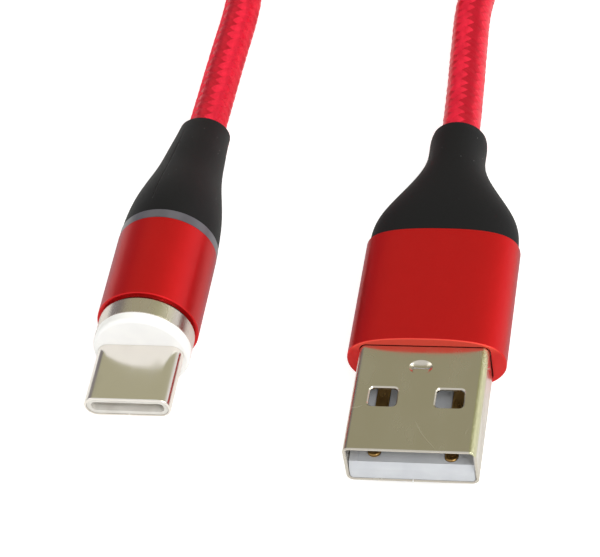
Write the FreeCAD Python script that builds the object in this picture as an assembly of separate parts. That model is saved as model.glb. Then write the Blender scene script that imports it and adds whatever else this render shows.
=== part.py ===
"""Charging cable: a USB-A plug, a braided cord and a magnetic end with a detachable USB-C tip.

Millimetres, +Z up. Both plugs lie on z = 0 side by side, with their mouths towards -Y and their
cords leaving towards +Y. The origin is the bottom centre of the two plugs, without the cord.
Each plug is drawn about its own axis, with y = 0 at its mouth, and then put in its place.
"""

import FreeCAD, Part
import math
import os

# ---- Driving dimensions -------------------------------------------------------------------------
CORD_D = 3.7  # outside of the braid
PLUG_SPACING = 26.66  # between the two plug axes
TIP_SETBACK = 4.5  # the USB-C mouth lies this far behind the USB-A mouth
PLUGS_LENGTH = 43.0  # from the USB-A mouth to the end of the further boot

USB_A_W, USB_A_H, USB_A_T = 12.0, 4.5, 0.3  # shell: width, height and sheet thickness
USB_A_OUT = 12.25  # length of shell that shows
USB_A_SHELL_L = 18.6
HOUSING_W, HOUSING_H, HOUSING_L = 14.84, 6.7, 14.1
HOUSING_END_R = 4.04  # half-width of the housing's rounded sides
HOUSING_CROWN = 3.28  # from the plug's axis to the top of the slightly domed upper side
CROWN_FULLNESS = 0.737  # 0.552 would make the upper side an ellipse, 1 a box
HOUSING_WALL = 0.75
USB_BOOT_END = 42.0
CONTACT_X = 3.5  # the two contacts lie this far each side of the middle

USB_C_W, USB_C_H, USB_C_T = 8.25, 2.4, 0.22
USB_C_OUT = 6.6
COLLAR_R, COLLAR_FRONT, COLLAR_REAR = 4.62, 6.6, 7.66
BASE_R, BASE_REAR = 4.6, 9.55
CUP_R, CUP_FLOOR = 4.2, 9.2  # the inside of the tip's base, which the collar turns in
SLEEVE_R, SLEEVE_WALL = 4.87, 0.67
SLEEVE_FRONT, SLEEVE_REAR = 9.9, 19.8
LIGHT_REAR = 20.78
SEAT_Y = 10.9  # the face that the tip sits on
MAG_BOOT_END = 38.5
MAG_BOOT_DROP = 2.37  # the boot bends down by this much until it touches the surface

COIL_R = 19.5  # radius at the middle of the turns
COIL_Y = 99.0  # coil centre, behind the USB-A mouth
COIL_WIDE = 4  # turns side by side in the lower layer; the upper one has one less

FIT = 0.03  # radial running clearance
SEAM = 0.1  # width of the slit where a shell's edges meet

CORD_R = CORD_D / 2
SLEEVE_BORE = SLEEVE_R - SLEEVE_WALL
HOUSING_REAR = USB_A_OUT + HOUSING_L

# ---- Where each plug's axis and mouth are in the part's frame -----------------------------------
HALF_SPAN = (PLUG_SPACING + SLEEVE_R + HOUSING_W / 2) / 2
USB_AT = FreeCAD.Vector(HALF_SPAN - HOUSING_W / 2, -PLUGS_LENGTH / 2, HOUSING_H / 2)
MAG_AT = FreeCAD.Vector(SLEEVE_R - HALF_SPAN, TIP_SETBACK - PLUGS_LENGTH / 2, SLEEVE_R)
COIL_AT = FreeCAD.Vector(0, COIL_Y - PLUGS_LENGTH / 2, 0)

V = FreeCAD.Vector
ACROSS = V(1, 0, 0)
ALONG = V(0, 1, 0)


# ---- Helpers ------------------------------------------------------------------------------------
def save(name, shape, at=V(0, 0, 0)):
    """Moves a shape from its plug's frame to the part's, checks it and writes its file."""
    placed = shape.removeSplitter() if shape.Solids else shape
    placed.translate(at)
    if not placed.isValid() or not placed.Solids:
        raise ValueError(name + " isn't a valid solid")
    whole = placed.Solids[0] if len(placed.Solids) == 1 else Part.makeCompound(placed.Solids)
    whole.exportStep("parts/" + name + ".step")
    return placed


def rod(radius, y0, y1, x=0.0, z=0.0):
    """A round bar along Y."""
    return Part.makeCylinder(radius, y1 - y0, V(x, y0, z), ALONG)


def ring(outer, inner, y0, y1):
    """A round tube along Y."""
    return rod(outer, y0, y1).cut(rod(inner, y0 - 1, y1 + 1))


def block(x0, x1, y0, y1, z0, z1):
    return Part.makeBox(x1 - x0, y1 - y0, z1 - z0, V(x0, y0, z0))


def turned(profile):
    """A solid of revolution about Y, from (radius, y) points."""
    points = [V(r, y, 0) for r, y in profile]
    face = Part.Face(Part.makePolygon(points + points[:1]))
    return face.revolve(V(0, 0, 0), ALONG, 360)


def upright(edges, y0, y1):
    """Extrudes an outline drawn in X and Y, stood up into X and Z, from y0 to y1."""
    face = Part.Face(Part.Wire(edges))
    face.rotate(V(0, 0, 0), ACROSS, 90)
    face.translate(V(0, y0, 0))
    return face.extrude(V(0, y1 - y0, 0))


def rounded_bar(width, height, radius, y0, y1):
    """A bar along Y whose section is a rectangle with rounded corners."""
    w, h = width / 2, height / 2
    corners = [(w, h, 0), (-w, h, 90), (-w, -h, 180), (w, -h, 270)]
    ends = []
    for x, z, start in corners:
        centre = V(x - math.copysign(radius, x), z - math.copysign(radius, z), 0)
        arc = [
            centre + V(math.cos(math.radians(start + a)), math.sin(math.radians(start + a)), 0) * radius
            for a in (0, 45, 90)
        ]
        ends.append(arc)
    edges = []
    for k, arc in enumerate(ends):
        edges.append(Part.Arc(*arc).toShape())
        following = ends[(k + 1) % 4][0]
        if (arc[2] - following).Length > 1e-6:
            edges.append(Part.makeLine(arc[2], following))
    return upright(edges, y0, y1)


def oval_bar(half_w, half_h, end_w, y0, y1):
    """A bar along Y with a flat top and bottom and half-ellipse sides end_w wide."""
    flat = half_w - end_w
    right = Part.ArcOfEllipse(Part.Ellipse(V(flat, 0, 0), end_w, half_h), -math.pi / 2, math.pi / 2)
    left = Part.ArcOfEllipse(Part.Ellipse(V(-flat, 0, 0), end_w, half_h), math.pi / 2, 3 * math.pi / 2)
    top = Part.makeLine(V(flat, half_h, 0), V(-flat, half_h, 0))
    bottom = Part.makeLine(V(-flat, -half_h, 0), V(flat, -half_h, 0))
    return upright([right.toShape(), top, left.toShape(), bottom], y0, y1)


def crowned_outline(inset, y):
    """The housing's outline across Y: an oval whose upper side is slightly domed, inset a little."""
    half_w, half_h, end_w = HOUSING_W / 2 - inset, HOUSING_H / 2 - inset, HOUSING_END_R - inset
    flat, crown = half_w - end_w, HOUSING_CROWN - inset
    right = Part.ArcOfEllipse(Part.Ellipse(V(flat, 0, 0), end_w, half_h), -math.pi / 2, 0)
    left = Part.ArcOfEllipse(Part.Ellipse(V(-flat, 0, 0), end_w, half_h), math.pi, 3 * math.pi / 2)
    bottom = Part.makeLine(V(-flat, -half_h, 0), V(flat, -half_h, 0))
    near, far = CROWN_FULLNESS * half_w, CROWN_FULLNESS * crown
    top_right, top_left = Part.BezierCurve(), Part.BezierCurve()
    top_right.setPoles([V(half_w, 0, 0), V(half_w, far, 0), V(near, crown, 0), V(0, crown, 0)])
    top_left.setPoles([V(0, crown, 0), V(-near, crown, 0), V(-half_w, far, 0), V(-half_w, 0, 0)])
    outline = Part.Wire([edge.toShape() for edge in (right, top_right, top_left, left)] + [bottom])
    outline.rotate(V(0, 0, 0), ACROSS, 90)
    outline.translate(V(0, y, 0))
    return outline


def outer_edges(solid, y, least):
    """The edges that lie in the plane at y and further than least from the axis."""
    def out(edge):
        box = edge.BoundBox
        flat = abs(box.YMin - y) < 1e-6 and abs(box.YMax - y) < 1e-6
        return flat and max(abs(box.ZMin), abs(box.ZMax)) > least
    return [e for e in solid.Edges if out(e)]


def section(half_w, half_h, power, at):
    """A closed smooth outline across Y: an ellipse at power 2, squarer above it."""
    points = []
    for k in range(24):
        a = 2 * math.pi * k / 24
        c, s = math.cos(a), math.sin(a)
        x = half_w * math.copysign(abs(c) ** (2 / power), c)
        z = half_h * math.copysign(abs(s) ** (2 / power), s)
        points.append(at + V(x, 0, z))
    curve = Part.BSplineCurve()
    curve.interpolate(points, PeriodicFlag=True)
    return Part.Wire(curve.toShape())


def tube_path(points):
    """Straight runs joined by tangent arcs, with each arc's radius and the path's length."""
    edges, radii, start = [], [], points[0]
    for before, corner, after in zip(points, points[1:], points[2:]):
        back, on = before - corner, after - corner
        turn = math.pi - back.getAngle(on)
        cut = 0.45 * min(back.Length, on.Length)
        radii.append(cut / math.tan(turn / 2))
        back.normalize()
        on.normalize()
        enter, leave = corner + back * cut, corner + on * cut
        inward = back + on
        inward.normalize()
        middle = corner + inward * (radii[-1] / math.cos(turn / 2) - radii[-1])
        edges.append(Part.LineSegment(start, enter).toShape())
        edges.append(Part.Arc(enter, middle, leave).toShape())
        start = leave
    edges.append(Part.LineSegment(start, points[-1]).toShape())
    wire = Part.Wire(edges)
    return wire, radii


def tube(points, radius):
    """A round tube along tube_path."""
    wire, radii = tube_path(points)
    circle = Part.Wire(Part.makeCircle(radius, points[0], points[1] - points[0]))
    return wire.makePipeShell([circle], True, False), wire.Length, radii


# ---- USB-A plug ---------------------------------------------------------------------------------
def usb_a_shell():
    """Folded sheet-steel box: a seam under it, two windows above and below, and a lanced detent."""
    shell = rounded_bar(USB_A_W, USB_A_H, 0.65, 0, USB_A_SHELL_L)
    hollow = rounded_bar(USB_A_W - 2 * USB_A_T, USB_A_H - 2 * USB_A_T, 0.35, -1, USB_A_SHELL_L + 1)
    shell = shell.cut(hollow)
    lip = [e for e in outer_edges(shell, 0, 0) if abs(e.BoundBox.ZMax) < 1.96 and e.BoundBox.XMax < 5.71]
    shell = shell.makeChamfer(0.1, lip)
    window_w, window_l, window_y = 2.55, 2.15, 5.1
    for side in (-1, 1):
        window = block(0, window_w, 0, window_l, -4, 4)
        window = window.makeFillet(0.4, [e for e in window.Edges if e.BoundBox.ZLength > 7])
        window.translate(V(side * 3.04 - window_w / 2, window_y, 0))
        shell = shell.cut(window)
    shell = shell.makeChamfer(0.12, window_edges(shell, window_y, window_y + window_l))
    shell = shell.cut(block(-SEAM / 2, SEAM / 2, -1, USB_A_SHELL_L + 1, -3, 0))
    stretch = FreeCAD.Matrix()
    stretch.scale(1.28, 1, 1)
    dish = Part.makeSphere(1.4, V(0, 9.75, USB_A_H / 2 + 1.12)).transformGeometry(stretch)
    slot = block(-0.8, 0.8, 9.66, 9.86, 1, 3)
    tab = block(-0.74, 0.74, 8.9, 9.66, USB_A_H / 2 - 0.24, USB_A_H / 2)
    tab = tab.makeFillet(0.1, [e for e in tab.Edges if e.BoundBox.ZMin > USB_A_H / 2 - 0.01
                               and e.BoundBox.YMax > 9.6])
    tab.rotate(V(0, 8.9, USB_A_H / 2), ACROSS, -5)
    return shell.cut(dish).cut(slot).fuse(tab)


def window_edges(shell, y0, y1):
    """The edges of the windows on the outsides of the shell."""
    def on_window(edge):
        box = edge.BoundBox
        level = abs(box.ZMax - box.ZMin) < 1e-6 and abs(abs(box.ZMax) - USB_A_H / 2) < 1e-6
        return level and box.YMin > y0 - 0.01 and box.YMax < y1 + 0.01
    return [e for e in shell.Edges if on_window(e)]


def usb_a_insulator():
    """White tongue under the cavity, with grooves for two contacts, and a full-height rear block."""
    wide, low = USB_A_W / 2 - USB_A_T - 0.05, -USB_A_H / 2 + USB_A_T + 0.02
    body = block(-wide, wide, 0.12, 17.5, low, 0)
    corners = [e for e in body.Edges if e.BoundBox.YLength > 10 and e.BoundBox.ZMax < -1]
    body = body.makeFillet(0.33, corners)
    slope = Part.Face(Part.makePolygon([V(-9, 0.12, -0.72), V(-9, 0.44, 0), V(-9, 0.44, 1), V(-9, -1, 1),
                                        V(-9, -1, -0.72), V(-9, 0.12, -0.72)]))
    body = body.cut(slope.extrude(V(18, 0, 0)))
    recess = block(-4.86, 4.86, 0.46, 9.4, -0.12, 1)
    rear = rounded_bar(2 * wide, -2 * low, 0.33, 9.4, 17.5)
    body = body.cut(recess).fuse(rear)
    for x in (-CONTACT_X, CONTACT_X):
        end = Part.makeCylinder(0.65, 0.28, V(x, 1.4, -0.24))
        body = body.cut(block(x - 0.65, x + 0.65, 1.4, 19, -0.24, 0.04).fuse(end))
    return body


def usb_a_contact(x):
    """Gilt strip in its groove, with a domed nose, and a tail behind the insulator."""
    front = 0.8 if x > 0 else 1.15
    strip = block(x - 0.61, x + 0.61, front, 19.4, -0.24, 0.02)
    nose = [e for e in strip.Edges if e.BoundBox.ZLength > 0.2 and e.BoundBox.YMax < front + 0.1]
    strip = strip.makeFillet(0.58, nose)
    top = [e for e in strip.Edges if e.BoundBox.ZMin > 0 and e.BoundBox.YMax < front + 0.7]
    return strip.makeFillet(0.2, top)


def usb_a_wire(side):
    """One insulated wire from the cord's end out to a contact's tail."""
    points = [
        V(side * 0.75, JACKET_Y, 0),
        V(side * 1.1, 23.6, 0.25),
        V(side * 3.2, 21.3, 0.5),
        V(side * CONTACT_X, 19.2, 0.52),
    ]
    return tube(points, 0.5)[0]


def usb_a_housing():
    """Oval aluminium sleeve with a closed front face that fits round the shell."""
    half_w, half_h = HOUSING_W / 2, HOUSING_H / 2
    edge = 0.09
    outer = Part.makeLoft([
        crowned_outline(edge, USB_A_OUT),
        crowned_outline(0, USB_A_OUT + edge),
        crowned_outline(0, HOUSING_REAR - edge),
        crowned_outline(edge, HOUSING_REAR),
    ], True, True)
    bore = oval_bar(half_w - HOUSING_WALL, half_h - HOUSING_WALL, HOUSING_END_R - HOUSING_WALL,
                    USB_A_OUT + 1.2, HOUSING_REAR + 1)
    mouth = rounded_bar(USB_A_W + 0.16, USB_A_H + 0.16, 0.73, USB_A_OUT - 1, USB_A_SHELL_L + 0.1)
    return outer.cut(bore).cut(mouth)


# Boot stations: distance from the mouth, half-width, half-height, and squareness of the section.
USB_BOOT_STATIONS = [
    (HOUSING_REAR, 7.2, 3.22, 2.5),
    (28.3, 7.08, 3.22, 2.45),
    (29.9, 6.68, 3.2, 2.35),
    (31.4, 6.0, 3.14, 2.25),
    (33.0, 5.1, 3.05, 2.15),
    (34.7, 4.15, 2.96, 2.05),
    (36.6, 3.3, 2.87, 2.0),
    (39.0, 2.86, 2.8, 2.0),
    (USB_BOOT_END, 2.72, 2.72, 2.0),
]
USB_EXIT = V(-0.15, USB_BOOT_END, -0.5)  # centre of the cord where it leaves the boot
JACKET_Y = 25.4  # where the cord's jacket ends inside the boot


def usb_boot_axis(y):
    """The boot's centre line, which drifts from the plug's axis to the cord's exit."""
    part = max(0.0, (y - HOUSING_REAR) / (USB_BOOT_END - HOUSING_REAR))
    return V(USB_EXIT.x * part ** 2, y, USB_EXIT.z * part ** 2)


def usb_a_boot():
    """Moulded strain relief, with a spigot inside the housing."""
    outline = [section(w, h, power, usb_boot_axis(y)) for y, w, h, power in USB_BOOT_STATIONS]
    half_w, half_h = HOUSING_W / 2, HOUSING_H / 2
    wall = HOUSING_WALL + 0.02
    spigot = oval_bar(half_w - wall, half_h - wall, HOUSING_END_R - wall, 24.6, HOUSING_REAR + 0.5)
    return Part.makeLoft(outline, True).fuse(spigot)


def usb_a_cord_end():
    """Jacketed end of the cord inside the boot."""
    inner = V(0, JACKET_Y, 0)
    run = USB_EXIT - inner
    return Part.makeCylinder(CORD_R, run.Length, inner, run)


# ---- Magnetic end of the cable ------------------------------------------------------------------
def mag_boot_axis(y):
    """The boot's centre line, which sinks until the boot's end rests on the surface."""
    part = max(0.0, (y - LIGHT_REAR) / (MAG_BOOT_END - LIGHT_REAR))
    return V(0, y, -MAG_BOOT_DROP * part ** 1.6)


MAG_BOOT_STATIONS = [  # distance from the tip's mouth, half-width, and half-height
    (LIGHT_REAR, 4.8, 4.8),
    (22.6, 4.71, 4.68),
    (24.4, 4.53, 4.48),
    (26.2, 4.24, 4.17),
    (28.0, 3.87, 3.78),
    (29.8, 3.5, 3.4),
    (31.8, 3.2, 3.1),
    (34.2, 2.97, 2.86),
    (36.4, 2.77, 2.65),
    (MAG_BOOT_END, 2.63, 2.5),
]
MAG_EXIT = mag_boot_axis(MAG_BOOT_END)


def mag_boot():
    """Moulded strain relief that bends down with the cord."""
    outline = [section(w, h, 2, mag_boot_axis(y)) for y, w, h in MAG_BOOT_STATIONS]
    return Part.makeLoft(outline, True)


def mag_cord_end():
    """Jacketed end of the cord inside the boot, along the boot's bend."""
    points = [mag_boot_axis(y) for y in (24.0, 29.0, 33.8, MAG_BOOT_END)]
    return tube(points, CORD_R)[0]


def crimp_ring(centre, direction):
    """Brass ring crimped on the cord's jacket inside a boot."""
    outer = Part.makeCylinder(CORD_R + 0.3, 2.6, centre, direction)
    return outer.cut(Part.makeCylinder(CORD_R, 4.6, centre - direction * 1.0, direction))


def mag_sleeve():
    """Round aluminium sleeve, chamfered at both ends, with a socket for the tip at the front."""
    edge = 0.08
    return turned([
        (SLEEVE_BORE + 0.1, SLEEVE_FRONT),
        (SLEEVE_R - edge, SLEEVE_FRONT),
        (SLEEVE_R, SLEEVE_FRONT + edge),
        (SLEEVE_R, SLEEVE_REAR - edge),
        (SLEEVE_R - edge, SLEEVE_REAR),
        (SLEEVE_BORE, SLEEVE_REAR),
        (SLEEVE_BORE, SLEEVE_FRONT + 0.1),
    ])


def mag_light_ring():
    """Translucent ring that the LEDs shine through."""
    return ring(SLEEVE_R - 0.03, SLEEVE_BORE, SLEEVE_REAR, LIGHT_REAR)


PIN_BORE = 0.5  # inside radius of the pin's barrel
PIN_STOP = 11.6  # the lip that the sprung pin rests against
MAGNET_REAR = 14.2
POCKET = (15.2, 19.6)  # where the board lies


def mag_carrier():
    """Plastic core behind the magnet, with a pocket for the board and a hole for the wires."""
    core = rod(SLEEVE_BORE - 0.03, MAGNET_REAR, LIGHT_REAR)
    core = core.cut(block(-3.3, 3.3, POCKET[0], POCKET[1], -0.55, 1.5))
    core = core.cut(rod(2.2, POCKET[1] - 0.5, LIGHT_REAR + 1))
    return core.cut(rod(1.7, MAGNET_REAR - 1, POCKET[0] + 0.1))


def mag_pin_bush():
    """Plastic bush with a flange, which keeps the barrel from the magnet."""
    return turned([(0.75, SEAT_Y), (2.3, SEAT_Y), (2.3, SEAT_Y + 0.35), (1.7, SEAT_Y + 0.35),
                   (1.7, 15.15), (0.75, 15.15)])


def mag_pin_barrel():
    """Brass barrel that the pin slides in, closed at the rear, with a lip that keeps the pin."""
    barrel = rod(0.75, SEAT_Y + 0.1, 15.15)
    return barrel.cut(rod(PIN_BORE, PIN_STOP, 14.85)).cut(rod(0.38 + FIT, SEAT_Y, PIN_STOP + 0.1))


def mag_pin_plunger():
    """Sprung pin: a nose that touches the tip's pad, and a stem in the barrel."""
    nose_y = SEAT_Y - 0.15
    return turned([
        (0, nose_y),
        (0.2, nose_y),
        (0.38, nose_y + 0.18),
        (0.38, PIN_STOP + 0.01),
        (PIN_BORE - FIT, PIN_STOP + 0.01),
        (PIN_BORE - FIT, 12.9),
        (0, 12.9),
    ])


def mag_pin_spring():
    """Coil spring between the pin and the bottom of its barrel."""
    wire_r, mean_r = 0.06, 0.38
    helix = Part.makeHelix(0.3, 1.8, mean_r)
    start = Part.Wire(Part.makeCircle(wire_r, V(mean_r, 0, 0), ALONG))
    spring = Part.Wire(helix.Edges).makePipeShell([start], True, True)
    spring.rotate(V(0, 0, 0), ACROSS, -90)
    spring.translate(V(0, 12.97, 0))
    return spring


def mag_wire(side):
    """One insulated wire from the cord's end to its pad on the board."""
    points = [
        V(side * 0.75, 24.0, -0.2),
        V(side * 0.8, 22.0, 0.1),
        V(side * 1.3, 20.2, 0.85),
        V(side * 1.5, 18.9, 0.92),
    ]
    return tube(points, 0.4)[0]


# ---- Detachable tip -----------------------------------------------------------------------------
WASHER_R, PAD_R, STEM_R = 2.0, 1.2, 0.5
SHELL_REAR = 7.6  # the USB-C shell ends against a ledge in the collar
LINER_W, LINER_H = USB_C_W - 2 * USB_C_T - 0.04, USB_C_H - 2 * USB_C_T - 0.04
LINER_REAR = 8.5


def tip_base():
    """Nickel-plated steel cup: the ring that shows, and the spigot that the magnet holds."""
    edge, front = 0.08, COLLAR_REAR + 0.02
    return turned([
        (CUP_R, front),
        (BASE_R - edge, front),
        (BASE_R, front + edge),
        (BASE_R, BASE_REAR - edge),
        (BASE_R - edge, BASE_REAR),
        (SLEEVE_BORE - 0.05, BASE_REAR),
        (SLEEVE_BORE - 0.05, SEAT_Y),
        (WASHER_R, SEAT_Y),
        (WASHER_R, CUP_FLOOR),
        (CUP_R, CUP_FLOOR),
    ])


def tip_centre_pad():
    """Gilt pad that the sprung pin touches, with its stem through the washer."""
    face = SEAT_Y - 0.15
    return turned([(0, face), (PAD_R, face), (PAD_R, 10.2), (STEM_R, 10.2), (STEM_R, CUP_FLOOR - 0.05),
                   (0, CUP_FLOOR - 0.05)])


def tip_pad_washer():
    """Plastic washer that keeps the pad from the steel round it."""
    return turned([(PAD_R, SEAT_Y), (WASHER_R, SEAT_Y), (WASHER_R, CUP_FLOOR), (STEM_R, CUP_FLOOR),
                   (STEM_R, 10.2), (PAD_R, 10.2)])


def tip_collar():
    """White plastic collar with a rounded front edge, and a spigot inside the base."""
    collar = rod(COLLAR_R, COLLAR_FRONT, COLLAR_REAR)
    collar = collar.makeFillet(0.35, outer_edges(collar, COLLAR_FRONT, 4))
    collar = collar.fuse(rod(CUP_R - FIT, SHELL_REAR, LINER_REAR))
    collar = collar.cut(rounded_bar(USB_C_W + 0.02, USB_C_H + 0.02, USB_C_H / 2, 6, SHELL_REAR))
    return collar.cut(rounded_bar(LINER_W + 0.02, LINER_H + 0.02, 0.965, 6, 9))


def tip_usb_c_shell():
    """Deep-drawn shell with rounded sides, a rolled mouth and a seam underneath."""
    shell = rounded_bar(USB_C_W, USB_C_H, USB_C_H / 2 - 0.005, 0, SHELL_REAR)
    shell = shell.makeFillet(0.12, outer_edges(shell, 0, 0))
    hollow = rounded_bar(USB_C_W - 2 * USB_C_T, USB_C_H - 2 * USB_C_T, 0.975, -1, 9.5)
    shell = shell.cut(hollow)
    return shell.cut(block(-0.04, 0.04, -1, 10, -2, 0))


def tip_usb_c_liner():
    """White lining with the oblong cavity that a socket's tongue enters."""
    liner = rounded_bar(LINER_W, LINER_H, 0.955, 0.1, LINER_REAR)
    cavity = rounded_bar(6.9, 1.12, 0.45, -1, 5.4)
    return liner.cut(cavity)


TIP_CONTACTS = 5  # contacts in each row that a charging tip carries
TIP_PITCH = 1.0


def tip_contacts(side):
    """One row of gilt contact springs, along the cavity's roof or floor."""
    strips = []
    for k in range(TIP_CONTACTS):
        x = (k - (TIP_CONTACTS - 1) / 2) * TIP_PITCH
        z0, z1 = sorted((side * 0.38, side * 0.54))
        strips.append(block(x - 0.14, x + 0.14, 1.5, 5.3, z0, z1))
    return Part.makeCompound(strips)


def tip_latches():
    """Steel latch springs at the two ends of the cavity."""
    return Part.makeCompound([
        block(*sorted((side * 3.22, side * 3.4)), 1.8, 5.3, -0.22, 0.22) for side in (-1, 1)
    ])


# ---- Free cord ----------------------------------------------------------------------------------
# Each route is chosen by hand: from the boot's end, down to the surface, and out to the coil's side.
FLOOR_Z = CORD_R
SIDE_X = COIL_R + (COIL_WIDE - 1) / 2 * CORD_D  # the outermost turn at the coil's side


def usb_route():
    """Points of the USB-A side, in the part's frame."""
    shown = [
        V(-0.15, 42.0, -0.5),
        V(-0.4, 49.0, -1.0),
        V(-0.85, 57.0, -1.45),
        V(-1.15, 65.0, -1.5),
        V(0.9, 74.0, -1.5),
        V(5.6, 82.5, -1.5),
        V(10.6, 90.2, -1.5),
    ]
    return [USB_AT + p for p in shown] + [V(SIDE_X, COIL_AT.y, FLOOR_Z)]


def mag_route():
    """Points of the magnetic side, in the part's frame."""
    shown = [
        MAG_EXIT,
        V(-0.05, 44.0, -2.98),
        V(0.1, 51.0, -3.02),
        V(0.5, 60.0, -3.02),
        V(-0.6, 69.0, -3.02),
        V(-4.0, 77.5, -3.02),
        V(-8.4, 85.5, -3.02),
    ]
    return [MAG_AT + p for p in shown] + [V(-SIDE_X, COIL_AT.y, FLOOR_Z)]


def cord_coil():
    """Outer shape of the coil: a ring whose section is four turns wide below and three above."""
    low, high = COIL_WIDE / 2 * CORD_D + 0.35, (COIL_WIDE - 1) / 2 * CORD_D + 0.35
    top = CORD_D * (1 + math.sqrt(3) / 2) + 0.45
    outline = [
        V(COIL_R - low, 0, CORD_R * 0.5),
        V(COIL_R - low + CORD_R * 0.5, 0, 0),
        V(COIL_R + low - CORD_R * 0.5, 0, 0),
        V(COIL_R + low, 0, CORD_R * 0.5),
        V(COIL_R + low, 0, CORD_D * 0.8),
        V(COIL_R + high, 0, top - CORD_R * 0.4),
        V(COIL_R + high - CORD_R * 0.5, 0, top),
        V(COIL_R - high + CORD_R * 0.5, 0, top),
        V(COIL_R - high, 0, top - CORD_R * 0.4),
        V(COIL_R - low, 0, CORD_D * 0.8),
    ]
    face = Part.Face(Part.makePolygon(outline + outline[:1]))
    return face.revolve(V(0, 0, 0), V(0, 0, 1), 360)


def cord_tie():
    """Hook-and-loop strap round the far side of the coil."""
    half, thick, width = COIL_WIDE / 2 * CORD_D + 1.4, 0.7, 11.0
    high = CORD_D * (1 + math.sqrt(3) / 2) + 1.9
    strap = block(-width / 2, width / 2, -half, half, 0, high)
    strap = strap.makeFillet(2.4, [e for e in strap.Edges if e.BoundBox.XLength > width - 0.1])
    hole = block(-width, width, thick - half, half - thick, thick, high - thick)
    hole = hole.makeFillet(1.8, [e for e in hole.Edges if e.BoundBox.XLength > width])
    strap = strap.cut(hole)
    strap.translate(V(0, COIL_R, 0))
    return strap


# ---- Assembly -----------------------------------------------------------------------------------
def less(shape, *others):
    """The shape with every other one's space taken out of it."""
    for other in others:
        shape = shape.cut(other)
    return shape


def build_usb_a_end():
    contacts = {"power": usb_a_contact(-CONTACT_X), "ground": usb_a_contact(CONTACT_X)}
    wires = {"power": usb_a_wire(-1), "ground": usb_a_wire(1)}
    shell, insulator = usb_a_shell(), usb_a_insulator()
    cord_end = usb_a_cord_end()
    jacket_start = V(0, JACKET_Y, 0)
    direction = USB_EXIT - jacket_start
    direction.normalize()
    crimp = crimp_ring(jacket_start + direction * 2.6, direction)
    tails = [Part.makeSphere(0.62, V(x, 19.0, 0.42)) for x in (-CONTACT_X, CONTACT_X)]
    solder = Part.makeCompound([
        less(tail, *contacts.values(), *wires.values(), shell) for tail in tails
    ])
    wires = {name: less(wire, cord_end) for name, wire in wires.items()}
    wall = HOUSING_WALL + 0.02
    mould = oval_bar(HOUSING_W / 2 - wall, HOUSING_H / 2 - wall, HOUSING_END_R - wall,
                     USB_A_OUT + 1.25, 24.55)
    hollow = rounded_bar(USB_A_W, USB_A_H, 0.65, USB_A_OUT, 17.5)
    mould = less(mould, hollow, shell, insulator, *contacts.values(), *wires.values(),
                 *solder.Solids, cord_end)
    boot = less(usb_a_boot(), cord_end, crimp, *wires.values())
    save("usb_a_shell", shell, USB_AT)
    save("usb_a_insulator", insulator, USB_AT)
    save("usb_a_contact_power", contacts["power"], USB_AT)
    save("usb_a_contact_ground", contacts["ground"], USB_AT)
    save("usb_a_solder", solder, USB_AT)
    save("usb_a_wire_power", wires["power"], USB_AT)
    save("usb_a_wire_ground", wires["ground"], USB_AT)
    save("usb_a_inner_mould", mould, USB_AT)
    save("usb_a_housing", usb_a_housing(), USB_AT)
    save("usb_a_boot", boot, USB_AT)
    save("usb_a_cord_end", cord_end, USB_AT)
    save("usb_a_crimp_ring", crimp, USB_AT)


def build_mag_end():
    cord_end = mag_cord_end()
    start, on = mag_boot_axis(24.0), mag_boot_axis(29.0)
    direction = on - start
    direction.normalize()
    crimp = crimp_ring(start + direction * 0.6, direction)
    board = block(-3.1, 3.1, POCKET[0] + 0.1, POCKET[1] - 0.1, -0.5, 0.3)
    wires = {"power": mag_wire(-1), "ground": mag_wire(1)}
    wires = {name: less(wire, cord_end, board) for name, wire in wires.items()}
    boot = less(mag_boot(), cord_end, crimp, *wires.values())
    joints = [Part.makeSphere(0.5, V(x, 18.75, 0.55)) for x in (-1.5, 1.5)]
    solder = Part.makeCompound([less(ball, board, *wires.values()) for ball in joints])
    leds = Part.makeCompound([block(x - 0.4, x + 0.4, 18.2, 19.0, 0.3, 0.75) for x in (-2.5, 2.5)])
    magnet = ring(SLEEVE_BORE - 0.05, 1.7, SEAT_Y + 0.35, MAGNET_REAR)
    save("mag_boot", boot, MAG_AT)
    save("mag_cord_end", cord_end, MAG_AT)
    save("mag_crimp_ring", crimp, MAG_AT)
    save("mag_wire_power", wires["power"], MAG_AT)
    save("mag_wire_ground", wires["ground"], MAG_AT)
    save("mag_light_ring", mag_light_ring(), MAG_AT)
    save("mag_sleeve", mag_sleeve(), MAG_AT)
    save("mag_carrier", less(mag_carrier(), *wires.values()), MAG_AT)
    save("mag_board", board, MAG_AT)
    save("mag_solder", solder, MAG_AT)
    save("mag_leds", leds, MAG_AT)
    save("mag_resistor", block(-0.5, 0.5, 16.2, 16.7, 0.3, 0.65), MAG_AT)
    save("mag_magnet", magnet, MAG_AT)
    save("mag_contact_ring", ring(SLEEVE_BORE - 0.05, 2.3, SEAT_Y, SEAT_Y + 0.35), MAG_AT)
    save("mag_pin_bush", mag_pin_bush(), MAG_AT)
    save("mag_pin_barrel", mag_pin_barrel(), MAG_AT)
    save("mag_pin_plunger", mag_pin_plunger(), MAG_AT)
    save("mag_pin_spring", mag_pin_spring(), MAG_AT)


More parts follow.
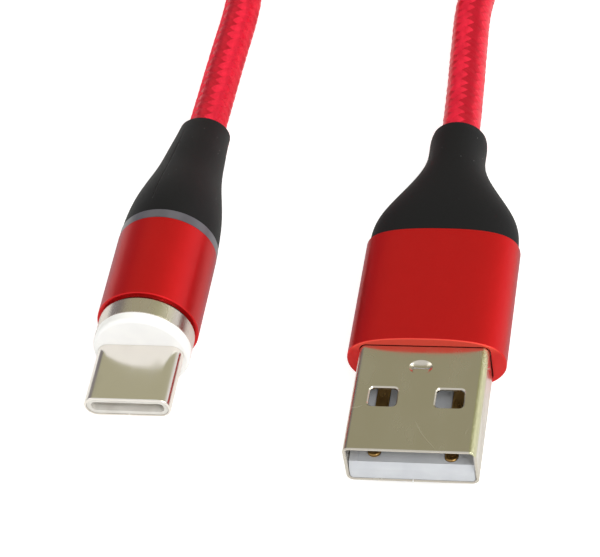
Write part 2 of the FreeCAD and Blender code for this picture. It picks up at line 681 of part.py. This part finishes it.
def build_tip():
    contacts = {"upper": tip_contacts(1), "lower": tip_contacts(-1)}
    latches = tip_latches()
    liner = less(tip_usb_c_liner(), *contacts["upper"].Solids, *contacts["lower"].Solids, *latches.Solids)
    save("tip_base", tip_base(), MAG_AT)
    save("tip_centre_pad", tip_centre_pad(), MAG_AT)
    save("tip_pad_washer", tip_pad_washer(), MAG_AT)
    save("tip_board", rod(CUP_R - 0.1, LINER_REAR + 0.05, CUP_FLOOR - 0.1), MAG_AT)
    save("tip_collar", tip_collar(), MAG_AT)
    save("tip_usb_c_shell", tip_usb_c_shell(), MAG_AT)
    save("tip_usb_c_liner", liner, MAG_AT)
    save("tip_contacts_upper", contacts["upper"], MAG_AT)
    save("tip_contacts_lower", contacts["lower"], MAG_AT)
    save("tip_latch_springs", latches, MAG_AT)


def build_cord():
    for name, route in (("cord_usb_run", usb_route()), ("cord_mag_run", mag_route())):
        solid, length, radii = tube(route, CORD_R)
        swept = solid.Volume / (math.pi * CORD_R ** 2)
        print(name, "radii", [round(r, 1) for r in radii])
        print(name, "length", round(length, 2), "volume over section", round(swept, 2))
        save(name, solid)
    save("cord_coil", cord_coil(), COIL_AT)
    save("cord_tie", cord_tie(), COIL_AT)


os.makedirs("parts", exist_ok=True)
build_usb_a_end()
build_mag_end()
build_tip()
build_cord()
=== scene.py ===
import math

import bmesh
import bpy
import numpy as np
from mathutils import Matrix, Vector


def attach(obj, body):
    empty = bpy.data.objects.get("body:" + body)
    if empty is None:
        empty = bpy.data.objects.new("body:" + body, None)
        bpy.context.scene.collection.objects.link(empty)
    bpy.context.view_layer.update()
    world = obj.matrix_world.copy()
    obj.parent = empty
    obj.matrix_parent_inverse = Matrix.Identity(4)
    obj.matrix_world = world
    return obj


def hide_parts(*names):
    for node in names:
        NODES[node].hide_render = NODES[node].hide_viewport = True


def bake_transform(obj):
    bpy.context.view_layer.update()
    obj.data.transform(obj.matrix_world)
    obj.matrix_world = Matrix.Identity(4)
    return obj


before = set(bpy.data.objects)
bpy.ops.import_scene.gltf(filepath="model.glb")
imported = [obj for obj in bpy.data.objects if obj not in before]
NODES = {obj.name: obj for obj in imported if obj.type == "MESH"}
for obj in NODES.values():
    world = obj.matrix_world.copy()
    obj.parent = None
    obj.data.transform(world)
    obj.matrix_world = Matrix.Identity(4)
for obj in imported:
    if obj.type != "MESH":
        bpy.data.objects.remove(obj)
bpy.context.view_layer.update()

# Lengths are in millimetres, except where said.
MM = 0.001
CORD_D = 3.7
CORD_R = CORD_D / 2
COIL_R, COIL_Y = 19.5, 77.5  # radius at the middle of the turns, and where their centre is
TURNS = 6.5
FLOOR_Z = -0.0001  # metres; the cord dips this far below the CAD's zero


# ---- Camera, light and floor -------------------------------------------------------------------
def make_camera():
    """The photograph's view: 46 degrees down, a little from the right, and rolled."""
    right = Vector((0.9797, 0.1495, -0.1334))
    down = Vector((0.0191, -0.7324, -0.6806))
    forward = Vector((-0.1995, 0.6643, -0.7204))
    data = bpy.data.cameras.new("camera")
    data.lens, data.sensor_width = 147.53, 36.0
    data.clip_start, data.clip_end = 0.01, 10
    camera = bpy.data.objects.new("camera", data)
    bpy.context.scene.collection.objects.link(camera)
    turn = Matrix((right, -down, -forward)).transposed().to_4x4()
    camera.matrix_world = Matrix.Translation(Vector((45.65, -155.67, 173.21)) * MM) @ turn
    bpy.context.scene.camera = camera


def area_light(name, place, size, power):
    """A white lamp, in metres and watts, that faces the object's origin."""
    data = bpy.data.lights.new(name, "AREA")
    data.shape, data.size, data.size_y = "RECTANGLE", size[0], size[1]
    data.energy = power
    light = bpy.data.objects.new(name, data)
    light.location = place
    light.rotation_euler = (-Vector(place)).to_track_quat("-Z", "Y").to_euler()
    bpy.context.scene.collection.objects.link(light)


def srgb(r, g, b):
    """A screen colour, 0 to 255, as the linear one that nodes take."""
    def linear(v):
        v /= 255
        return v / 12.92 if v <= 0.04045 else ((v + 0.055) / 1.055) ** 2.4
    return (linear(r), linear(g), linear(b), 1.0)


class Nodes:
    """Builds one node tree with little writing."""

    def __init__(self, tree):
        self.tree = tree
        tree.nodes.clear()

    def new(self, kind, inputs=(), **settings):
        node = self.tree.nodes.new(kind)
        for key, value in settings.items():
            setattr(node, key, value)
        for key, value in dict(inputs).items():
            if isinstance(value, bpy.types.NodeSocket):
                self.tree.links.new(value, node.inputs[key])
            else:
                node.inputs[key].default_value = value
        return node

    def math(self, operation, *values):
        """A sum on sockets or numbers. A "!" after the operation's name clamps it to 0 to 1."""
        clamp = operation.endswith("!")
        node = self.new("ShaderNodeMath", enumerate(values), operation=operation.rstrip("!"))
        node.use_clamp = clamp
        return node.outputs[0]

    def add(self, a, b):
        return self.math("ADD", a, b)

    def sub(self, a, b):
        return self.math("SUBTRACT", a, b)

    def mul(self, a, b):
        return self.math("MULTIPLY", a, b)

    def step(self, value, low, high, to_low=0.0, to_high=1.0):
        """Smoothly from to_low to to_high as value goes from low to high."""
        node = self.new("ShaderNodeMapRange", {0: value, 1: low, 2: high, 3: to_low, 4: to_high},
                        interpolation_type="SMOOTHSTEP")
        return node.outputs[0]

    def mix(self, factor, a, b):
        node = self.new("ShaderNodeMix", data_type="RGBA")
        for socket, value in ((node.inputs[0], factor), (node.inputs[6], a), (node.inputs[7], b)):
            if isinstance(value, bpy.types.NodeSocket):
                self.tree.links.new(value, socket)
            else:
                socket.default_value = value
        return node.outputs[2]

    def where(self):
        return self.new("ShaderNodeTexCoord").outputs["Object"]

    def parts(self, vector):
        return self.new("ShaderNodeSeparateXYZ", {0: vector}).outputs[:3]

    def vector(self, x, y, z):
        return self.new("ShaderNodeCombineXYZ", {0: x, 1: y, 2: z}).outputs[0]

    def vector_math(self, operation, a, b):
        return self.new("ShaderNodeVectorMath", {0: a, 1: b}, operation=operation).outputs[0]

    def stretched(self, x, y, z):
        """Object coordinates with each axis scaled, per millimetre."""
        return self.vector_math("MULTIPLY", self.where(), (1000 * x, 1000 * y, 1000 * z))

    def noise(self, vector, detail=2.0, roughness=0.5):
        return self.new("ShaderNodeTexNoise", {"Vector": vector, "Scale": 1.0, "Detail": detail,
                                               "Roughness": roughness}).outputs[0]

    def specks(self, vector, size, share):
        """1 on small round specks in a share of the cells, else 0."""
        cells = self.new("ShaderNodeTexVoronoi", {"Vector": vector, "Scale": 1.0})
        chosen = self.math("LESS_THAN", self.parts(cells.outputs["Color"])[0], share)
        return self.mul(self.step(cells.outputs["Distance"], size, size * 0.5), chosen)

    def bump(self, height, depth_mm):
        inputs = {"Height": height, "Distance": depth_mm * MM, "Strength": 1.0}
        return self.new("ShaderNodeBump", inputs).outputs[0]


def material(name):
    """A new material: its Nodes, and a function that finishes it with a Principled shader."""
    made = bpy.data.materials.new(name)
    made.use_nodes = True
    n = Nodes(made.node_tree)

    def finish(colour, roughness, metallic=0.0, normal=None, **more):
        inputs = {"Base Color": colour, "Roughness": roughness, "Metallic": metallic}
        if normal is not None:
            inputs["Normal"] = normal
        inputs.update({key.replace("_", " "): value for key, value in more.items()})
        shader = n.new("ShaderNodeBsdfPrincipled", inputs)
        out = n.new("ShaderNodeOutputMaterial")
        n.tree.links.new(shader.outputs[0], out.inputs[0])
        return made
    return n, finish


def make_world():
    """A light tent: white low down and at the front, olive grey above, dim at the back left."""
    world = bpy.data.worlds.new("tent")
    world.use_nodes = True
    bpy.context.scene.world = world
    n = Nodes(world.node_tree)
    x, y, z = n.parts(n.new("ShaderNodeTexCoord").outputs["Generated"])
    lit = n.math("MAXIMUM", n.step(z, 0.55, 0.1), n.step(y, 0.3, 0.0))
    colour = n.mix(lit, (0.435, 0.42, 0.295, 1), (0.86, 0.86, 0.86, 1))
    dim = n.mul(n.step(x, -0.25, -0.6), n.mul(n.step(y, -0.2, 0.2), n.step(z, 0.6, 0.4)))
    colour = n.mix(n.mul(dim, 0.85), colour, (0.14, 0.12, 0.14, 1))
    back = n.new("ShaderNodeBackground", {"Color": colour, "Strength": 1.0})
    out = n.new("ShaderNodeOutputWorld")
    n.tree.links.new(back.outputs[0], out.inputs[0])


def make_floor():
    """White paper that shows as pure white."""
    bpy.ops.mesh.primitive_plane_add(size=6, location=(0, 0, FLOOR_Z))
    floor = bpy.context.object
    floor.name = "floor"
    n, finish = material("floor")
    cloud = n.noise(n.stretched(0.01, 0.01, 0.01))
    tint = n.mix(cloud, (0.86, 0.86, 0.86, 1), (0.9, 0.9, 0.9, 1))
    path = n.new("ShaderNodeLightPath")
    seen, mirrored = path.outputs["Is Camera Ray"], path.outputs["Is Glossy Ray"]
    glow = n.add(n.mul(seen, 0.6), n.mul(mirrored, 0.1))
    paper = finish(tint, 0.9, Emission_Color=(1, 1, 1, 1), Emission_Strength=glow)
    floor.data.materials.append(paper)


# ---- Cord --------------------------------------------------------------------------------------
# Control points of the centre line in millimetres, from each boot to the coil.
USB_ROUTE = [
    (11.905, 20.5, 2.85),
    (11.655, 27.5, 2.35),
    (11.205, 35.5, 1.9),
    (10.905, 43.5, 1.85),
    (12.955, 52.5, 1.85),
    (17.655, 61.0, 1.85),
    (22.655, 68.7, 1.85),
    (25.05, 77.5, 1.85),
]
MAG_ROUTE = [
    (-14.605, 21.5, 2.5),
    (-14.655, 27.0, 1.89),
    (-14.505, 34.0, 1.85),
    (-14.105, 43.0, 1.85),
    (-15.205, 52.0, 1.85),
    (-18.605, 60.5, 1.85),
    (-23.005, 68.5, 1.85),
    (-25.05, 77.5, 1.85),
]
# Places of the turns in the coil's section, in diameters: across, and up. The cord takes the next
# place each time that it passes the tie.
UP = math.sqrt(3) / 2
PLACES = [(1.5, 0), (0.5, 0), (-0.5, 0), (-1.5, 0), (-1, UP), (0, UP), (1, UP), (1.5, 0)]
SLIPPED = (1.45, 0.05)  # where the last turn lies once it has slipped off the upper layer
TIE_AT = 90  # degrees round the coil, from +X
CHANGE = 52  # degrees that the cord takes to go from one place to the next
TIE_LIFT, LIFT_OVER = 0.72, 18  # how far the strap lifts the turns, and how many degrees it takes
STEPS_PER_TURN = 24


def smooth(t):
    t = min(1.0, max(0.0, t))
    return t * t * (3 - 2 * t)


def coil_point(angle):
    """The cord's centre after it has gone this many degrees round the coil."""
    turn, at = divmod(angle - TIE_AT + 180, 360)
    passed, from_tie = int(turn), at - 180
    t = smooth((from_tie + CHANGE / 2) / CHANGE)
    (x0, z0), (x1, z1) = PLACES[passed], PLACES[passed + 1]
    across, up = x0 + (x1 - x0) * t, z0 + (z1 - z0) * t
    swell = math.sin(math.pi * t)
    if z0 != z1:  # going up or down a layer, round the outside
        across += 0.6 * swell * (-1 if x0 < 0 else 1)
    elif z0 > 0:  # going over from one groove of the upper layer to the next
        up += 0.14 * min(1, 1.6 * swell)
    near = 0.5 - 0.5 * math.sin(math.radians(angle))  # 1 opposite the tie, 0 at it
    last_on_top = (passed == 5 and from_tie > 0) or (passed == 6 and from_tie < 0)
    slipped = smooth(near * 1.6 - 0.6) if last_on_top else 0.0
    across += (SLIPPED[0] - across) * slipped
    up += (SLIPPED[1] - up) * slipped
    radius = COIL_R + CORD_D * across * (1 + 0.04 * near)
    lift = TIE_LIFT * smooth(1.9 - abs(from_tie) / LIFT_OVER)
    a = math.radians(angle)
    return (radius * math.cos(a), COIL_Y + radius * math.sin(a), CORD_R + CORD_D * up + lift)


def make_line():
    """Points on the cord's centre line, a NURBS curve from boot to boot through the coil."""
    steps = int(TURNS * STEPS_PER_TURN)
    turns = [coil_point(360 * TURNS * k / steps) for k in range(1, steps)]
    points = USB_ROUTE + turns + MAG_ROUTE[::-1]
    data = bpy.data.curves.new("cord_line", "CURVE")
    data.dimensions = "3D"
    data.resolution_u = 16
    spline = data.splines.new("NURBS")
    spline.points.add(len(points) - 1)
    for point, place in zip(spline.points, points):
        point.co = (*(v * MM for v in place), 1)
    spline.order_u = 3
    spline.use_endpoint_u = True
    line = bpy.data.objects.new("cord_line", data)
    bpy.context.scene.collection.objects.link(line)
    bpy.context.view_layer.update()
    mesh = bpy.data.meshes.new_from_object(line)
    found = np.array([v.co for v in mesh.vertices]) * 1000  # back to millimetres
    bpy.data.meshes.remove(mesh)
    bpy.data.objects.remove(line)
    return found


def along(line, stations):
    """Points at these distances along a line of points, and each point's side and up directions."""
    lengths = np.concatenate([[0], np.cumsum(np.linalg.norm(np.diff(line, axis=0), axis=1))])
    places = np.stack([np.interp(stations, lengths, line[:, k]) for k in range(3)], 1)
    tangents = np.gradient(places, axis=0)
    tangents /= np.linalg.norm(tangents, axis=1)[:, None]
    sides = np.empty_like(places)
    side = np.array([1.0, 0.0, 0.0])
    for k, tangent in enumerate(tangents):
        side = side - tangent * (side @ tangent)
        side /= np.linalg.norm(side)
        sides[k] = side
    return places, sides, np.cross(sides, tangents)


LEAD = 9.7  # one turn of a yarn round the cord
YARNS = 8  # in each direction
YARN_OUT, GAP_DEPTH = 0.09, 0.11  # how far yarns stand past the radius, and how deep gaps are
FINE_RUN = 62.0  # the length at each end that is meshed finely
FINE_STEP, COARSE_STEP = 0.16, 0.55
AROUND = 40  # points round the cord
INSIDE = 1.2  # how far the cord goes on inside each boot
COLUMNS = 51.0, -26.0  # degrees that bring the columns of yarns where they lie at the two ends
SEEN_AT = -120  # the station where the columns are seen at the magnetic end, counted from there


def wander(u, s):
    """The same place in a braid whose yarns don't lie quite evenly."""
    def wave(k, pitch, shift):
        return np.sin(2 * math.pi * (k * u + s / pitch + shift))
    return (u + 0.007 * wave(1, 5.1, 0.0) + 0.005 * wave(-2, 2.9, 0.7),
            s + 0.12 * wave(1, 7.3, 0.2) + 0.08 * wave(-2, 3.7, 0.5))


def braid_height(u, s):
    """How far the braid stands out, 0 to 1, u turns round the cord and s millimetres along it."""
    a, b = YARNS * (u - s / LEAD), -YARNS * (u + s / LEAD)
    i, j = np.round(a), np.round(b)
    first = np.mod(i - j, 4) < 1.5
    run = np.where(first, np.mod(i - b + 1, 4) - 1.5, np.mod(a - j, 4) - 2.5)
    side = np.where(first, a - i, b - j)
    return (1 - (2 * np.abs(side)) ** 3 * 0.6) * (1 - 0.75 * np.abs(run) ** 2.5)


def braid_twist(stations, total, end_side):
    """How far the columns of yarns are turned at each station, in radians.

    It is set at each end, and the difference is taken up in the coil.
    """
    start = COLUMNS[0]
    end = math.degrees(math.atan2(end_side[2], end_side[0])) + COLUMNS[1]
    quarter = 90.0  # the columns repeat every quarter turn
    end += quarter * round((start - end) / quarter)
    return np.radians(np.interp(stations, [FINE_RUN, total - FINE_RUN], [start, end]))


def make_cord():
    """The braided cord, its centre line and the line's length, in millimetres."""
    line = make_line()
    total = float(np.linalg.norm(np.diff(line, axis=0), axis=1).sum())
    stations = np.concatenate([
        np.arange(-INSIDE, FINE_RUN, FINE_STEP),
        np.arange(FINE_RUN, total - FINE_RUN, COARSE_STEP),
        np.arange(total - FINE_RUN, total + INSIDE, FINE_STEP),
    ])
    first, last = line[0] - line[1], line[-1] - line[-2]
    first, last = first / np.linalg.norm(first), last / np.linalg.norm(last)
    more = 1.5  # the line is drawn out by this at each end, to hold what goes on inside
    longer = np.vstack([line[0] + first * more, line, line[-1] + last * more])
    places, sides, ups = along(longer, stations + more)
    u = np.arange(AROUND) / AROUND
    height = braid_height(*wander(u[None, :], stations[:, None]))
    radius = CORD_R + YARN_OUT - GAP_DEPTH * (1 - height)
    twist = braid_twist(stations, total, sides[SEEN_AT])
    a = 2 * math.pi * u[None, :, None] + twist[:, None, None]
    out = sides[:, None, :] * np.cos(a) + ups[:, None, :] * np.sin(a)
    points = (places[:, None, :] + out * radius[:, :, None]).reshape(-1, 3) * MM
    k, m = np.meshgrid(np.arange(len(stations) - 1), np.arange(AROUND), indexing="ij")
    here, there, after = k * AROUND, (k + 1) * AROUND, (m + 1) % AROUND
    faces = np.stack([here + m, here + after, there + after, there + m], -1).reshape(-1, 4)
    mesh = bpy.data.meshes.new("cord_braid")
    mesh.from_pydata(points.tolist(), [], faces.tolist())
    s0, s1 = stations[k], stations[k + 1]
    u0, u1 = m / AROUND, (m + 1) / AROUND
    corners = [wander(u0, s0), wander(u1, s0), wander(u1, s1), wander(u0, s1)]
    uv = np.stack([np.stack(corner, -1) for corner in corners], 2)
    layer = mesh.uv_layers.new(name="braid")
    layer.data.foreach_set("uv", uv.astype(np.float32).ravel())
    mesh.polygons.foreach_set("use_smooth", [True] * len(mesh.polygons))
    cord = bpy.data.objects.new("cord_braid", mesh)
    bpy.context.scene.collection.objects.link(cord)
    cord.data.materials.append(braid_material())
    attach(cord, "cable")
    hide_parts("cord_usb_run", "cord_mag_run", "cord_coil")
    return cord, line, total


def braid_material():
    """Satin polyester yarns, two over and two under, which make rows of chevrons along the cord."""
    n, finish = material("braid")
    # The same sums as braid_height's, so that the colours follow the relief, with painted shade in
    # the gaps between yarns.
    u, s, _ = n.parts(n.new("ShaderNodeUVMap", uv_map="braid").outputs[0])
    turn = n.math("DIVIDE", s, LEAD)
    a, b = n.mul(n.sub(u, turn), YARNS), n.mul(n.add(u, turn), -YARNS)
    i, j = n.math("ROUND", a), n.math("ROUND", b)
    cell = n.math("FLOORED_MODULO", n.sub(i, j), 4.0)
    first = n.math("LESS_THAN", cell, 1.5)
    run_a = n.sub(n.math("FLOORED_MODULO", n.add(n.sub(i, b), 1.0), 4.0), 1.5)
    run_b = n.sub(n.math("FLOORED_MODULO", n.sub(a, j), 4.0), 2.5)

    def pick(one, other):
        return n.add(other, n.mul(first, n.sub(one, other)))

    run, side = pick(run_a, run_b), pick(n.sub(a, i), n.sub(b, j))
    yarn = pick(i, n.add(j, 40.0))
    length = pick(b, a)
    from_crown, from_middle = n.mul(n.math("ABSOLUTE", side), 2.0), n.math("ABSOLUTE", run)
    crown = n.math("SUBTRACT!", 1.0, n.mul(n.math("POWER", from_crown, 3.0), 0.6))
    dip = n.math("SUBTRACT!", 1.0, n.mul(n.math("POWER", from_middle, 2.5), 0.75))
    height = n.mul(crown, dip)
    thread = n.add(n.mul(side, 16.0), n.mul(yarn, 3.7))
    fibres = n.noise(n.vector(thread, n.mul(length, 0.45), 0.0), 2.0)
    dirt = n.noise(n.stretched(0.35, 0.35, 0.35), 2.0)
    uneven = n.noise(n.vector(n.mul(yarn, 5.3), n.mul(length, 0.3), 4.0), 1.0)
    # Painted shade: the yarns of the first slant are painted darker than the others, as the shade
    # of their columns.
    shade = n.mix(first, srgb(250, 24, 60), srgb(214, 8, 40))
    shade = n.mix(n.mul(n.step(fibres, 0.3, 0.75), 0.3), shade, srgb(252, 50, 80))
    shade = n.mix(n.mul(n.step(uneven, 0.35, 0.7), 0.2), shade, srgb(176, 6, 28))
    # Painted shade: where the relief is low, between yarns, the colour goes to dark crimson.
    colour = n.mix(n.step(height, 0.0, 0.35), srgb(180, 4, 24), shade)
    colour = n.mix(n.mul(dirt, 0.1), colour, srgb(250, 60, 85))
    # Light spreads across the filaments of each yarn, so its stretched highlight lies that way.
    around = n.new("ShaderNodeTangent", direction_type="UV_MAP", uv_map="braid").outputs[0]
    normal = n.new("ShaderNodeNewGeometry").outputs["Normal"]
    ahead = n.vector_math("CROSS_PRODUCT", around, normal)
    slant = n.mul(n.sub(n.mul(first, 2.0), 1.0), math.pi * CORD_D / LEAD)
    slanted = n.new("ShaderNodeVectorMath", {0: around, "Scale": slant}, operation="SCALE")
    fibre = n.vector_math("ADD", slanted.outputs[0], ahead)
    across = n.vector_math("CROSS_PRODUCT", normal, fibre)
    bumps = n.bump(n.add(n.mul(height, 0.5), n.mul(fibres, 0.15)), 0.05)
    return finish(colour, 0.4, 0.6, normal=bumps, Anisotropic=1.0, Tangent=across,
                  Sheen_Weight=0.05, Sheen_Roughness=0.35, Sheen_Tint=srgb(255, 170, 185))


def tie_outline():
    """The strap's inner line: out from the middle of the turns, and up, in millimetres."""
    once, double = 96, 16  # steps once round the bundle, and those that lie double
    wide, high, middle = 8.6, 4.1, 4.75
    fullness = 0.62  # 1 would make the line an ellipse, and less makes it fuller
    over_by, climb = 0.75, 8  # the end lies this far outside, and climbs there in so many steps
    outline = []
    for k in range(once + double + 1):
        a = 2 * math.pi * (k / once) + math.pi * 0.1
        c, s = math.cos(a), math.sin(a)
        over = over_by * smooth((k - once + climb + 1) / climb)
        outline.append(((wide + over) * math.copysign(abs(c) ** fullness, c),
                        middle + (high + over) * math.copysign(abs(s) ** fullness, s)))
    return outline


def make_tie():
    """A hook-and-loop strap, once round the bundle, with its end lying over."""
    width, across = 11.0, 13  # across is the number of points over the width
    mesh = bpy.data.meshes.new("tie_strap")
    grid = bmesh.new()
    rows = []
    for out, z in tie_outline():
        row = []
        for m in range(across):
            x = width * (m / (across - 1) - 0.5)
            row.append(grid.verts.new((x * MM, (COIL_Y + COIL_R + out) * MM, z * MM)))
        rows.append(row)
    for one, two in zip(rows, rows[1:]):
        for m in range(across - 1):
            grid.faces.new((one[m], two[m], two[m + 1], one[m + 1]))
    grid.to_mesh(mesh)
    grid.free()
    for polygon in mesh.polygons:
        polygon.use_smooth = True
    tie = bpy.data.objects.new("tie_strap", mesh)
    bpy.context.scene.collection.objects.link(tie)
    thick = tie.modifiers.new("thickness", "SOLIDIFY")
    thick.thickness, thick.offset = 0.6 * MM, 1.0
    edge = tie.modifiers.new("edge", "BEVEL")
    edge.width, edge.segments, edge.limit_method = 0.18 * MM, 2, "ANGLE"
    tie.data.materials.append(tie_material())
    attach(tie, "cable")
    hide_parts("cord_tie")
    return tie


def tie_material():
    """Black brushed loops on a woven strap."""
    n, finish = material("tie")
    loops = n.noise(n.stretched(5, 5, 5), 3.0, 0.7)
    weave = n.noise(n.stretched(1.2, 6, 6), 2.0)
    colour = n.mix(n.step(loops, 0.3, 0.75), srgb(18, 18, 20), srgb(58, 58, 62))
    return finish(colour, 0.9, normal=n.bump(n.add(loops, weave), 0.25), Sheen_Weight=0.3)


def make_pin_spring():
    """The sprung pin's spring, whose front end goes in with the pin while its rear end stays.

    It is the CAD's own mesh and material, copied into a piece of its own, and the CAD node is
    hidden.
    """
    spring = bpy.data.objects.new("pin_spring", NODES["mag_pin_spring"].data.copy())
    bpy.context.scene.collection.objects.link(spring)
    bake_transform(spring)
    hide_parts("mag_pin_spring")


# ---- Materials of the CAD nodes ----------------------------------------------------------------
def nickel(name, colour=srgb(206, 200, 188), rough=0.2, grained=None, scratches=0.0):
    """Nickel plate with rolling marks, milky smudges, specks and a few faint curved scratches.

    grained takes x, y and z in millimetres and gives where the plate is grained and glitters.
    """
    n, finish = material(name)
    smudge = n.noise(n.stretched(0.5, 0.22, 0.5), 3.0)
    fine = n.noise(n.stretched(9, 0.8, 9), 2.0)
    curl = n.noise(n.vector_math("ADD", n.stretched(0.16, 0.1, 0.16), (3.1, 0.7, 0.0)), 0.6)
    here = n.step(n.noise(n.stretched(0.22, 0.22, 0.22), 1.0), 0.5, 0.6, 0.0, scratches)
    scratch = n.mul(n.step(n.math("ABSOLUTE", n.sub(curl, 0.5)), 0.006, 0.001), here)
    specks = n.specks(n.stretched(0.8, 0.8, 0.8), 0.05, 0.25)
    tint = n.mix(n.step(smudge, 0.5, 0.8, 0, 0.35), colour, srgb(205, 200, 186))
    tint = n.mix(n.mul(n.math("MAXIMUM", scratch, specks), 0.35), tint, srgb(236, 232, 220))
    roughness = n.add(n.step(smudge, 0.35, 0.75, rough, rough + 0.1), n.mul(scratch, 0.2))
    height = fine
    if grained is not None:
        area = grained(n, *n.parts(n.stretched(1, 1, 1)))
        grain = n.mul(area, n.noise(n.stretched(6, 6, 6), 3.0, 0.8))
        height = n.add(fine, n.mul(grain, 11.0))
        tint = n.mix(n.mul(area, 0.6), tint, srgb(206, 208, 156))
    return finish(tint, roughness, 1.0, n.bump(height, 0.004))


def usb_a_grain(n, x, y, z):
    """Along the folded edge at the right of the USB-A shell."""
    return n.mul(n.step(x, 17.35, 17.55), n.step(z, 4.9, 5.1))


def base_grain(n, x, y, z):
    """A scuffed patch at the right of the tip's base."""
    return n.mul(n.step(x, -13.6, -12.4), n.step(x, -11.0, -11.6, 0.0, 0.45))


def red_metal():
    """Satin anodised aluminium with a fine metallic grain, and painted light on the housing's
    closed front.
    """
    n, finish = material("red_anodised")
    grain = n.noise(n.stretched(14, 14, 14), 2.0, 0.7)
    cloud = n.noise(n.stretched(0.3, 0.3, 0.3), 2.0)
    tint = n.mix(grain, srgb(206, 7, 13), srgb(238, 29, 31))
    tint = n.mix(n.mul(cloud, 0.25), tint, srgb(184, 5, 12))
    # Painted light: the housing's closed front is painted brighter, most of all above the shell.
    _, y, z = n.parts(n.stretched(1, 1, 1))
    front = n.mul(n.step(y, -9.16, -9.21), n.step(z, 4.6, 5.8, 0.15, 0.8))
    tint = n.mix(front, tint, srgb(255, 92, 72))
    return finish(tint, n.step(grain, 0.2, 0.8, 0.3, 0.42), 0.8, n.bump(grain, 0.012),
                  Coat_Weight=0.4, Coat_Roughness=0.25, Specular_Tint=(0.15, 0.2, 0.35, 1))


def rubber():
    """Matt moulded rubber with a little dust, and a mould line along the magnetic end's boot."""
    n, finish = material("black_rubber")
    fine = n.noise(n.stretched(8, 8, 8), 3.0)
    dust = n.specks(n.stretched(1.5, 1.5, 1.5), 0.08, 0.3)
    x, y, z = n.parts(n.stretched(1, 1, 1))
    run = n.mul(n.step(y, 5.0, 8.0), n.mul(n.step(y, 20.0, 15.5), n.step(z, 4.2, 4.8)))
    seam = n.mul(n.step(n.math("ABSOLUTE", n.add(x, 15.85)), 0.1, 0.04), run)
    tint = n.mix(fine, srgb(10, 10, 12), srgb(19, 19, 22))
    tint = n.mix(seam, tint, srgb(1, 1, 2))
    tint = n.mix(n.mul(dust, 0.55), tint, srgb(160, 160, 160))
    bumps = n.bump(n.sub(fine, n.mul(seam, 8.0)), 0.012)
    return finish(tint, 0.6, normal=bumps, Specular_IOR_Level=0.22)


def plastic(name, colour, darker, rough=0.25, **more):
    """Moulded plastic with faint flow marks."""
    n, finish = material(name)
    flow = n.noise(n.stretched(0.6, 0.6, 0.6), 2.0)
    fine = n.noise(n.stretched(10, 10, 10), 2.0)
    tint = n.mix(n.step(flow, 0.3, 0.7), colour, darker)
    return finish(tint, rough, normal=n.bump(fine, 0.003), **more)


def metal(name, colour, rough=0.25):
    """Plain drawn or plated metal, a little darker in patches."""
    n, finish = material(name)
    fine = n.noise(n.stretched(6, 2, 6), 2.0)
    darker = tuple(v * 0.6 for v in colour[:3]) + (1.0,)
    tint = n.mix(n.mul(fine, 0.35), colour, darker)
    return finish(tint, n.step(fine, 0.2, 0.8, rough, rough + 0.15), 1.0, n.bump(fine, 0.003))


def dress(made, *names):
    """Gives one material to these CAD nodes."""
    for name in names:
        data = NODES[name].data
        data.materials.clear()
        data.materials.append(made)


def dress_outside():
    """Materials of the pieces that can be seen."""
    dress(nickel("nickel_usb_a", grained=usb_a_grain, scratches=0.8), "usb_a_shell")
    dress(nickel("nickel_usb_c", srgb(239, 234, 227), 0.16), "tip_usb_c_shell",
          "tip_latch_springs")
    dress(nickel("nickel_base", srgb(219, 211, 202), 0.24, base_grain), "tip_base")
    dress(red_metal(), "usb_a_housing", "mag_sleeve")
    dress(rubber(), "usb_a_boot", "mag_boot")
    dress(plastic("white_insulator", srgb(209, 212, 216), srgb(202, 205, 210), 0.35),
          "usb_a_insulator")
    dress(plastic("white_collar", srgb(254, 254, 252), srgb(251, 251, 250), 0.12), "tip_collar")
    dress(plastic("white_liner", srgb(228, 225, 218), srgb(216, 212, 204), 0.4),
          "tip_usb_c_liner")
    dress(plastic("light_ring", srgb(104, 102, 110), srgb(94, 92, 100), 0.28,
                  Transmission_Weight=0.15), "mag_light_ring")
    # Gold contacts painted darker than the inner gilt, as painted shade where they lie inside the
    # shell.
    dress(metal("gilt_painted_shade", srgb(188, 150, 92), 0.25), "usb_a_contact_power",
          "usb_a_contact_ground")


def dress_inside():
    """Materials of the pieces inside the two ends and the tip."""
    dress(metal("gilt", srgb(232, 188, 96)), "mag_contact_ring", "mag_pin_barrel",
          "mag_pin_plunger", "tip_centre_pad", "tip_contacts_upper", "tip_contacts_lower",
          "usb_a_crimp_ring", "mag_crimp_ring")
    dress(metal("steel", srgb(190, 190, 188)), "mag_magnet", "mag_pin_spring")
    dress(metal("solder", srgb(200, 200, 204), 0.35), "usb_a_solder", "mag_solder")
    dress(plastic("board", srgb(20, 92, 52), srgb(14, 70, 40), 0.35), "mag_board", "tip_board")
    dress(plastic("moulding", srgb(222, 220, 210), srgb(205, 202, 192), 0.5),
          "usb_a_inner_mould", "mag_carrier", "mag_pin_bush", "tip_pad_washer")
    dress(plastic("wire_red", srgb(190, 24, 24), srgb(160, 16, 16), 0.4), "usb_a_wire_power",
          "mag_wire_power")
    dress(plastic("wire_black", srgb(24, 24, 26), srgb(14, 14, 16), 0.4), "usb_a_wire_ground",
          "mag_wire_ground", "mag_resistor")
    dress(plastic("led", srgb(240, 236, 190), srgb(226, 220, 170), 0.15), "mag_leds")
    dress(plastic("jacket", srgb(90, 8, 16), srgb(70, 4, 12), 0.5), "usb_a_cord_end",
          "mag_cord_end")


# ---- Everything --------------------------------------------------------------------------------
bpy.context.scene.view_settings.view_transform = "Standard"
make_camera()
make_world()
make_floor()
area_light("key_right", place=(0.55, 0.15, 0.5), size=(0.35, 0.5), power=1.4)
area_light("key_left", place=(-0.6, 0.1, 0.45), size=(0.3, 0.5), power=0.6)
area_light("front_right", place=(0.46, -0.36, 0.55), size=(0.3, 0.3), power=2.0)
cord, line, total = make_cord()
tie = make_tie()
[v * MM for v in USB_ROUTE[0]]
dress_outside()
dress_inside()
make_pin_spring()
